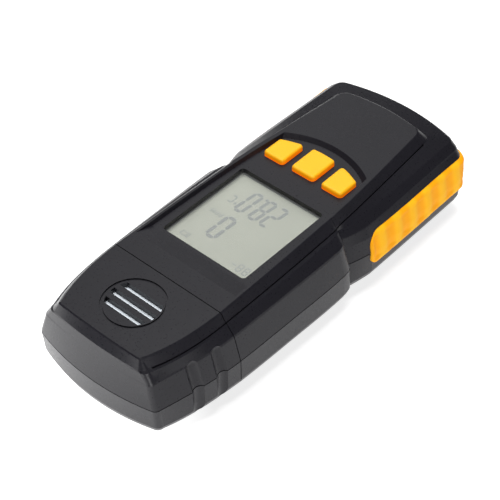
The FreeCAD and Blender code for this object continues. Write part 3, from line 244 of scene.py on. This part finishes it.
def clear_window():
    """Thin clear acrylic: mostly see-through, with faint streaks in its gloss."""
    material, nodes, links, shader = new_material("clear_window")
    vector = object_coordinates(nodes, links, (1.0, 0.05, 1.0))
    streaks = noise(nodes, links, vector, 900.0, 3.0)
    links.new(spread(nodes, links, streaks, 0.03, 0.09), shader.inputs["Roughness"])
    tint = ramp(nodes, links, streaks, [(0.3, (0.86, 0.89, 0.87)), (0.7, (0.9, 0.92, 0.9))])
    links.new(tint, shader.inputs["Base Color"])
    shader.inputs["Alpha"].default_value = 0.1
    return material


def filter_cloth():
    """The white dust filter behind the grille: a fine plain weave with a cool tint."""
    material, nodes, links, shader = new_material("filter_cloth")
    vector = object_coordinates(nodes, links)
    weaves = []
    for direction in ("X", "Y"):
        wave = nodes.new("ShaderNodeTexWave")
        wave.bands_direction = direction
        wave.inputs["Scale"].default_value = 900.0
        wave.inputs["Distortion"].default_value = 0.6
        links.new(vector, wave.inputs["Vector"])
        weaves.append(wave.outputs["Fac"])
    cross = nodes.new("ShaderNodeMath")
    cross.operation = "MAXIMUM"
    links.new(weaves[0], cross.inputs[0])
    links.new(weaves[1], cross.inputs[1])
    height = cross.outputs["Value"]
    tint = ramp(nodes, links, height, [(0.0, (0.55, 0.62, 0.7)), (1.0, (0.86, 0.91, 0.96))])
    links.new(tint, shader.inputs["Base Color"])
    links.new(spread(nodes, links, height, 0.85, 0.7), shader.inputs["Roughness"])
    links.new(bump(nodes, links, height, 0.05 * MM, 0.5), shader.inputs["Normal"])
    return material


def circuit_board(name, row_shift):
    """Green solder mask over a raised pattern of tracks."""
    material, nodes, links, shader = new_material(name)
    vector = object_coordinates(nodes, links)
    brick = nodes.new("ShaderNodeTexBrick")
    brick.inputs["Scale"].default_value = 180.0
    brick.inputs["Mortar Size"].default_value = 0.03
    brick.offset = row_shift
    links.new(vector, brick.inputs["Vector"])
    greens = [(0.0, (0.012, 0.13, 0.045)), (1.0, (0.03, 0.26, 0.1))]
    tint = ramp(nodes, links, brick.outputs["Fac"], greens)
    links.new(tint, shader.inputs["Base Color"])
    fine = noise(nodes, links, vector, 1500.0)
    links.new(spread(nodes, links, fine, 0.25, 0.4), shader.inputs["Roughness"])
    links.new(bump(nodes, links, brick.outputs["Fac"], 0.03 * MM, 0.6), shader.inputs["Normal"])
    return material


def cell_wrap():
    """Battery wrap: a dark sleeve that turns copper towards the +Y end of the row of cells."""
    material, nodes, links, shader = new_material("cell_wrap")
    vector = object_coordinates(nodes, links)
    split = nodes.new("ShaderNodeSeparateXYZ")
    links.new(vector, split.inputs["Vector"])
    place = spread(nodes, links, split.outputs["Y"], 0.0, 1.0, CELL_TINT_REACH)
    tint = ramp(
        nodes,
        links,
        place,
        [(0.0, (0.03, 0.05, 0.1)), (0.45, (0.03, 0.07, 0.16)), (0.9, (0.35, 0.16, 0.06))],
    )
    links.new(tint, shader.inputs["Base Color"])
    fine = noise(nodes, links, vector, 700.0)
    links.new(spread(nodes, links, fine, 0.22, 0.34), shader.inputs["Roughness"])
    links.new(bump(nodes, links, fine, 0.01 * MM, 0.4), shader.inputs["Normal"])
    return material


SHELL_BLACK = (0.0115, 0.0110, 0.0145)
MATERIALS = {
    "shell_black": moulded("shell_black", SHELL_BLACK, 0.31, 1500.0, 0.002, 0.05, 0.27),
    "grip_orange": grip_rubber(),
    "key_orange": key_silicone(),
    "mat_grey": moulded("mat_grey", (0.2, 0.2, 0.21), 0.65),
    "carbon_black": moulded("carbon_black", (0.02, 0.02, 0.02), 0.7),
    "window_clear": clear_window(),
    "gasket_foam": moulded("gasket_foam", (0.02, 0.02, 0.02), 0.85, 900.0, 0.1),
    "display_glass": display_face(),
    "light_guide": moulded("light_guide", (0.75, 0.78, 0.72), 0.35),
    "frame_black": moulded("frame_black", (0.015, 0.015, 0.016), 0.5),
    "board_green": circuit_board("board_green", 0.5),
    "chip_black": moulded("chip_black", (0.012, 0.012, 0.014), 0.55, 2200.0, 0.02),
    "can_metal": metal("can_metal", (0.62, 0.61, 0.58), 0.3),
    "sleeve_blue": moulded("sleeve_blue", (0.015, 0.03, 0.16), 0.3, 900.0, 0.01),
    "connector_cream": moulded("connector_cream", (0.74, 0.68, 0.54), 0.45),
    "filter_white": filter_cloth(),
    "sensor_grey": moulded("sensor_grey", (0.3, 0.31, 0.33), 0.45),
    "pin_brass": metal("pin_brass", (0.75, 0.56, 0.22), 0.25),
    "cable_grey": moulded("cable_grey", (0.28, 0.28, 0.3), 0.5),
    "lead_red": moulded("lead_red", (0.5, 0.01, 0.01), 0.4),
    "lead_black": moulded("lead_black", (0.012, 0.012, 0.012), 0.4),
    "cell_wrap": cell_wrap(),
    "contact_nickel": metal("contact_nickel", (0.66, 0.64, 0.58), 0.28),
    "screw_steel": metal("screw_steel", (0.16, 0.16, 0.17), 0.35, (1.0, 1.0, 1.0)),
}


def dress(item, material):
    """Give an object one material."""
    item.data.materials.clear()
    item.data.materials.append(material)


for part in frame["record"]["subparts"]:
    dress(NODES[part["node"]], MATERIALS[part["material_slot"]])

# ---------------------------------------------------------------- mesh helpers


def add_piece(name, mesh, material):
    """Link a new mesh as a piece that rides on the housing."""
    item = bpy.data.objects.new(name, mesh)
    bpy.context.scene.collection.objects.link(item)
    dress(item, material)
    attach(item, "housing")
    return item


def baked_copy(name, source, modifiers):
    """A mesh made from a copy of another object's mesh with modifiers applied."""
    item = bpy.data.objects.new(name, source.data.copy())
    bpy.context.scene.collection.objects.link(item)
    for kind, settings in modifiers:
        modifier = item.modifiers.new(kind, kind)
        for key, value in settings.items():
            setattr(modifier, key, value)
    graph = bpy.context.evaluated_depsgraph_get()
    mesh = bpy.data.meshes.new_from_object(item.evaluated_get(graph))
    bpy.data.objects.remove(item)
    mesh.name = name
    return mesh


# ---------------------------------------------------------------- side grips

WAVE_DEPTH = 0.7 * MM
WAVE_BORDER = 1.3 * MM
CROWN_HEIGHT = 3.0 * MM
CROWN_DEPTH = 0.7 * MM
GRIP_VOXEL = 0.34 * MM


def grip(name):
    """A soft moulded grip: rounded edges, a crowned top and end, and shallow upright waves."""
    mesh = baked_copy(
        f"{name}_soft",
        NODES[name],
        [
            ("REMESH", {"mode": "VOXEL", "voxel_size": GRIP_VOXEL, "adaptivity": 0.0}),
            ("SMOOTH", {"factor": 0.5, "iterations": 4}),
        ],
    )
    low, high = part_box(name)
    for vertex in mesh.vertices:
        outward = abs(vertex.normal.x)
        if vertex.normal.x * vertex.co.x <= 0:
            continue
        phase = 2 * math.pi * (vertex.co.y - WAVE_PHASE) / WAVE_PITCH
        inset = min(min(vertex.co[axis] - low[axis], high[axis] - vertex.co[axis]) for axis in (1, 2))
        fade = min(1.0, max(0.0, inset - WAVE_BORDER) / WAVE_BORDER)
        dip = WAVE_DEPTH * (0.5 - 0.5 * math.cos(phase)) * outward * fade
        past = max(vertex.co.z - (high[2] - CROWN_HEIGHT), low[1] + CROWN_HEIGHT - vertex.co.y)
        rise = max(0.0, past) / CROWN_HEIGHT
        vertex.co.x -= math.copysign(dip + CROWN_DEPTH * rise**2, vertex.co.x)
    mesh.shade_smooth()
    piece = add_piece(f"{name}_soft", mesh, MATERIALS["grip_orange"])
    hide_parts(name)


for side in ("left", "right"):
    grip(f"grip_{side}")

# ---------------------------------------------------------------- what the display shows

SEGMENT_GREY = moulded("segment_grey", (0.16, 0.175, 0.165), 0.4, 3000.0, 0.004, 0.02)
LEGEND_GREY = moulded("legend_grey", (0.21, 0.225, 0.205), 0.4, 3000.0, 0.004, 0.02)
SHADOW_GREY = moulded("shadow_grey", (0.31, 0.325, 0.275), 0.4, 3000.0, 0.004, 0.02)
display_low, display_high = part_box("lcd_glass")
SHADOW_LEVEL = display_high[2] + 0.02 * MM
SHOWN_LEVEL = display_high[2] + 0.05 * MM
DISPLAY_MIDDLE = ((display_low[0] + display_high[0]) / 2, (display_low[1] + display_high[1]) / 2)

# Segment order: top, top right, low right, bottom, low left, top left, middle.
LIT = {
    "0": (0, 1, 2, 3, 4, 5),
    "2": (0, 1, 6, 4, 3),
    "8": (0, 1, 2, 3, 4, 5, 6),
    "C": (0, 5, 4, 3),
    "P": (0, 1, 4, 5, 6),
}


def segment_outline(start, end, half, gap):
    along = (Vector(end) - Vector(start)).normalized()
    across = Vector((-along.y, along.x)) * half
    near = Vector(start) + along * gap
    far = Vector(end) - along * gap
    inner = along * half
    far_side = [far - inner + across, far, far - inner - across]
    return [near, near + inner + across, *far_side, near + inner - across]


def digit_outlines(figure, x, y, width, height, half, slant):
    """The lit segments of a figure whose lower left corner is at x, y."""
    middle = height / 2
    corners = {
        "tl": (0, height),
        "tr": (width, height),
        "ml": (0, middle),
        "mr": (width, middle),
        "bl": (0, 0),
        "br": (width, 0),
    }
    ends = (("tl", "tr"), ("tr", "mr"), ("mr", "br"), ("bl", "br"), ("ml", "bl"), ("tl", "ml"), ("ml", "mr"))
    outlines = []
    for index in LIT[figure]:
        start, end = (corners[key] for key in ends[index])
        outline = segment_outline(start, end, half, half * 0.25)
        outlines.append([Vector((x + p.x + slant * p.y, y + p.y)) for p in outline])
    return outlines


def disc_outline(x, y, radius, steps=20):
    turn = 2 * math.pi / steps
    return [
        Vector((x + radius * math.cos(turn * i), y + radius * math.sin(turn * i)))
        for i in range(steps)
    ]


def flat_mesh(name, outlines, level, thick=0.02 * MM):
    """Flat plates with the given outlines, in millimetres from the display's middle."""
    shape = bmesh.new()
    for outline in outlines:
        points = [
            Vector((DISPLAY_MIDDLE[0] + p.x * MM, DISPLAY_MIDDLE[1] + p.y * MM, level)) for p in outline
        ]
        face = shape.faces.new([shape.verts.new(point) for point in points])
        if face.normal.z < 0:
            face.normal_flip()
        pushed = bmesh.ops.extrude_face_region(shape, geom=[face])
        for item in pushed["geom"]:
            if isinstance(item, bmesh.types.BMVert):
                item.co.z += thick
    bmesh.ops.recalc_face_normals(shape, faces=shape.faces)
    mesh = bpy.data.meshes.new(name)
    shape.to_mesh(mesh)
    shape.free()
    return mesh


def stroke_outlines(points, half):
    """A line of the given half thickness through the points."""
    outlines = []
    for start, end in zip(points, points[1:]):
        start, end = Vector(start), Vector(end)
        along = (end - start).normalized() * half
        across = Vector((-along.y, along.x))
        tail = [start - along + across, start - along - across]
        outlines.append(tail + [end + along - across, end + along + across])
    return outlines


def letter_m(x, y, width, height, half):
    peak = y + height * 0.45
    points = [(x, y), (x, y + height), (x + width / 2, peak), (x + width, y + height), (x + width, y)]
    return stroke_outlines(points, half)


def battery_sign(x, y, width, height, half):
    """A battery's outline with a nub, and one bar of charge."""
    right, top = x + width, y + height
    frame_points = [(x, y), (right, y), (right, top), (x, top), (x, y)]
    nub = [(right + 3 * half, y + height * 0.35), (right + 3 * half, y + height * 0.65)]
    charge = [(x + width * 0.25, y + height * 0.3), (x + width * 0.25, y + height * 0.7)]
    outline = stroke_outlines(frame_points, half) + stroke_outlines(nub, half)
    return outline + stroke_outlines(charge, 2 * half)


# Places are millimetres from the middle of the display, and y runs towards the head. A figure's
# shape is its width, its height, half its stroke and its slant.
TOP_ROW_Y = -14.6
TOP_ROW = {"2": -6.0, "8": -1.3, "0": 4.4}
TOP_ROW_SHAPE = (2.8, 10.0, 0.55, 0.09)
LOWER_FIGURE_PLACE = (3.5, -0.7)
LOWER_FIGURE_SHAPE = (3.3, 10.3, 0.62, 0.03)
DEGREE_LETTER_PLACE = (10.6, -9.2)
DEGREE_LETTER_SHAPE = (1.7, 3.1, 0.24, 0.0)
UNIT_Y = -0.5
UNIT_P_X = (8.5, 10.1)
UNIT_P_SHAPE = (0.9, 1.7, 0.14, 0.0)
COUNTER_Y = 12.4
COUNTER_X = (-14.2, -11.7)
COUNTER_SHAPE = (1.5, 3.0, 0.2, 0.0)

# A dot is its place and radius. The unit's M and the battery have a width, a height and half a stroke.
DECIMAL_POINT = (2.6, -14.2, 0.55)
DEGREE_DOT = (9.3, -6.5, 0.5)
UNIT_M_X = 11.7
UNIT_M_SHAPE = (1.2, 1.7, 0.12)
BATTERY_PLACE = (10.2, 13.1)
BATTERY_SHAPE = (2.9, 1.6, 0.11)
COUNTER_DASH = [(-9.2, 13.9), (-7.9, 13.9)]
COUNTER_DASH_HALF = 0.16

reading = []
for figure, x in TOP_ROW.items():
    reading += digit_outlines(figure, x, TOP_ROW_Y, *TOP_ROW_SHAPE)
reading.append(disc_outline(*DECIMAL_POINT))
reading += digit_outlines("0", *LOWER_FIGURE_PLACE, *LOWER_FIGURE_SHAPE)

signs = digit_outlines("C", *DEGREE_LETTER_PLACE, *DEGREE_LETTER_SHAPE)
signs.append(disc_outline(*DEGREE_DOT))
for x in UNIT_P_X:
    signs += digit_outlines("P", x, UNIT_Y, *UNIT_P_SHAPE)
signs += letter_m(UNIT_M_X, UNIT_Y, *UNIT_M_SHAPE)
signs += battery_sign(*BATTERY_PLACE, *BATTERY_SHAPE)
for x in COUNTER_X:
    signs += digit_outlines("8", x, COUNTER_Y, *COUNTER_SHAPE)
signs += stroke_outlines(COUNTER_DASH, COUNTER_DASH_HALF)


def shifted(outlines, x, y):
    return [[point + Vector((x, y)) for point in outline] for outline in outlines]


SHADOW_SHIFT = (0.1, -0.42)
for name, outlines, tone in (("reading", reading, SEGMENT_GREY), ("signs", signs, LEGEND_GREY)):
    shadow = flat_mesh(f"display_{name}_shadow", shifted(outlines, *SHADOW_SHIFT), SHADOW_LEVEL)
    add_piece(f"display_{name}_shadow", shadow, SHADOW_GREY)
    shown = flat_mesh(f"display_{name}", outlines, SHOWN_LEVEL)
    add_piece(f"display_{name}", shown, tone)

# ---------------------------------------------------------------- floor, light and camera

FLOOR_HALF = 1.6
FLOOR_LEVEL = -0.05 * MM
FLOOR_GREY = (0.5, 0.5, 0.5, 1.0)
FLOOR_GLOW = 0.78
BRIGHT_FLOOR_GLOW = 5.2
BRIGHT_FLOOR_AZIMUTH = 150.0
BRIGHT_FLOOR_REACH = (0.03, 0.25)


def floor():
    """A plain pale floor under the meter, brighter out beyond its nose."""
    shape = bmesh.new()
    square = ((-1, -1), (1, -1), (1, 1), (-1, 1))
    corners = [shape.verts.new((FLOOR_HALF * x, FLOOR_HALF * y, FLOOR_LEVEL)) for x, y in square]
    shape.faces.new(corners)
    mesh = bpy.data.meshes.new("floor")
    shape.to_mesh(mesh)
    shape.free()
    item = bpy.data.objects.new("floor", mesh)
    bpy.context.scene.collection.objects.link(item)
    material, nodes, links, shader = new_material("floor_pale")
    shader.inputs["Base Color"].default_value = FLOOR_GREY
    shader.inputs["Roughness"].default_value = 0.9
    shader.inputs["Specular IOR Level"].default_value = 0.1
    shader.inputs["Emission Color"].default_value = (1.0, 1.0, 1.0, 1.0)
    place = nodes.new("ShaderNodeNewGeometry")
    towards = nodes.new("ShaderNodeVectorMath")
    towards.operation = "DOT_PRODUCT"
    links.new(place.outputs["Position"], towards.inputs[0])
    towards.inputs[1].default_value = heading(BRIGHT_FLOOR_AZIMUTH, 0.0)
    reach = towards.outputs["Value"]
    glow = spread(nodes, links, reach, FLOOR_GLOW, BRIGHT_FLOOR_GLOW, BRIGHT_FLOOR_REACH)
    links.new(glow, shader.inputs["Emission Strength"])
    dress(item, material)


def heading(azimuth, elevation):
    """The direction from the object towards a viewer at that azimuth and elevation."""
    a, e = math.radians(azimuth), math.radians(elevation)
    return Vector((math.sin(a) * math.cos(e), -math.cos(a) * math.cos(e), math.sin(e)))


def softbox(name, azimuth, elevation, distance, size, power):
    """A rectangular area light that faces the object."""
    light = bpy.data.lights.new(name, "AREA")
    light.shape = "RECTANGLE"
    light.size, light.size_y = size
    light.energy = power
    item = bpy.data.objects.new(name, light)
    bpy.context.scene.collection.objects.link(item)
    direction = heading(azimuth, elevation)
    item.location = direction * distance
    item.rotation_euler = direction.to_track_quat("Z", "Y").to_euler()


CAMERA_AZIMUTH = 221.561
CAMERA_ELEVATION = 44.621
CAMERA_ROLL = -0.103
CAMERA_DISTANCE = 463.5 * MM
CAMERA_TARGET = Vector((-0.407, 4.30, 15.515)) * MM
CAMERA_LENS = 105.42
SENSOR_WIDTH = 36.0
NEAR_CLIP = 0.01


def camera():
    """The camera at the photographed angle."""
    data = bpy.data.cameras.new("camera")
    data.lens = CAMERA_LENS
    data.sensor_width = SENSOR_WIDTH
    data.clip_start = NEAR_CLIP
    item = bpy.data.objects.new("camera", data)
    bpy.context.scene.collection.objects.link(item)
    back = heading(CAMERA_AZIMUTH, CAMERA_ELEVATION)
    right = (-back).cross(Vector((0, 0, 1))).normalized()
    up = right.cross(-back)
    roll = math.radians(CAMERA_ROLL)
    across = right * math.cos(roll) + up * math.sin(roll)
    upward = up * math.cos(roll) - right * math.sin(roll)
    turn = Matrix((across, upward, back)).transposed().to_4x4()
    item.matrix_world = Matrix.Translation(CAMERA_TARGET + back * CAMERA_DISTANCE) @ turn
    bpy.context.scene.camera = item


SURROUND_GREY = (0.035, 0.035, 0.037, 1.0)
# Name, azimuth, elevation, distance in metres, size in metres and watts.
SOFTBOXES = (
    ("backdrop", 41.0, 38.0, 1.5, (0.7, 0.9), 2.2),
    ("overhead", 75.0, 82.0, 1.2, (0.7, 0.7), 17.0),
    ("grip_side", 245.0, 10.0, 1.2, (0.5, 0.3), 4.4),
)


def studio():
    """Soft studio light: one overhead, one beyond the meter, one beside a grip and a dim surround."""
    world = bpy.data.worlds.new("studio")
    world.use_nodes = True
    background = world.node_tree.nodes["Background"]
    background.inputs["Color"].default_value = SURROUND_GREY
    background.inputs["Strength"].default_value = 1.0
    bpy.context.scene.world = world
    for box in SOFTBOXES:
        softbox(*box)
    bpy.context.scene.view_settings.view_transform = "Standard"


floor()
camera()
studio()
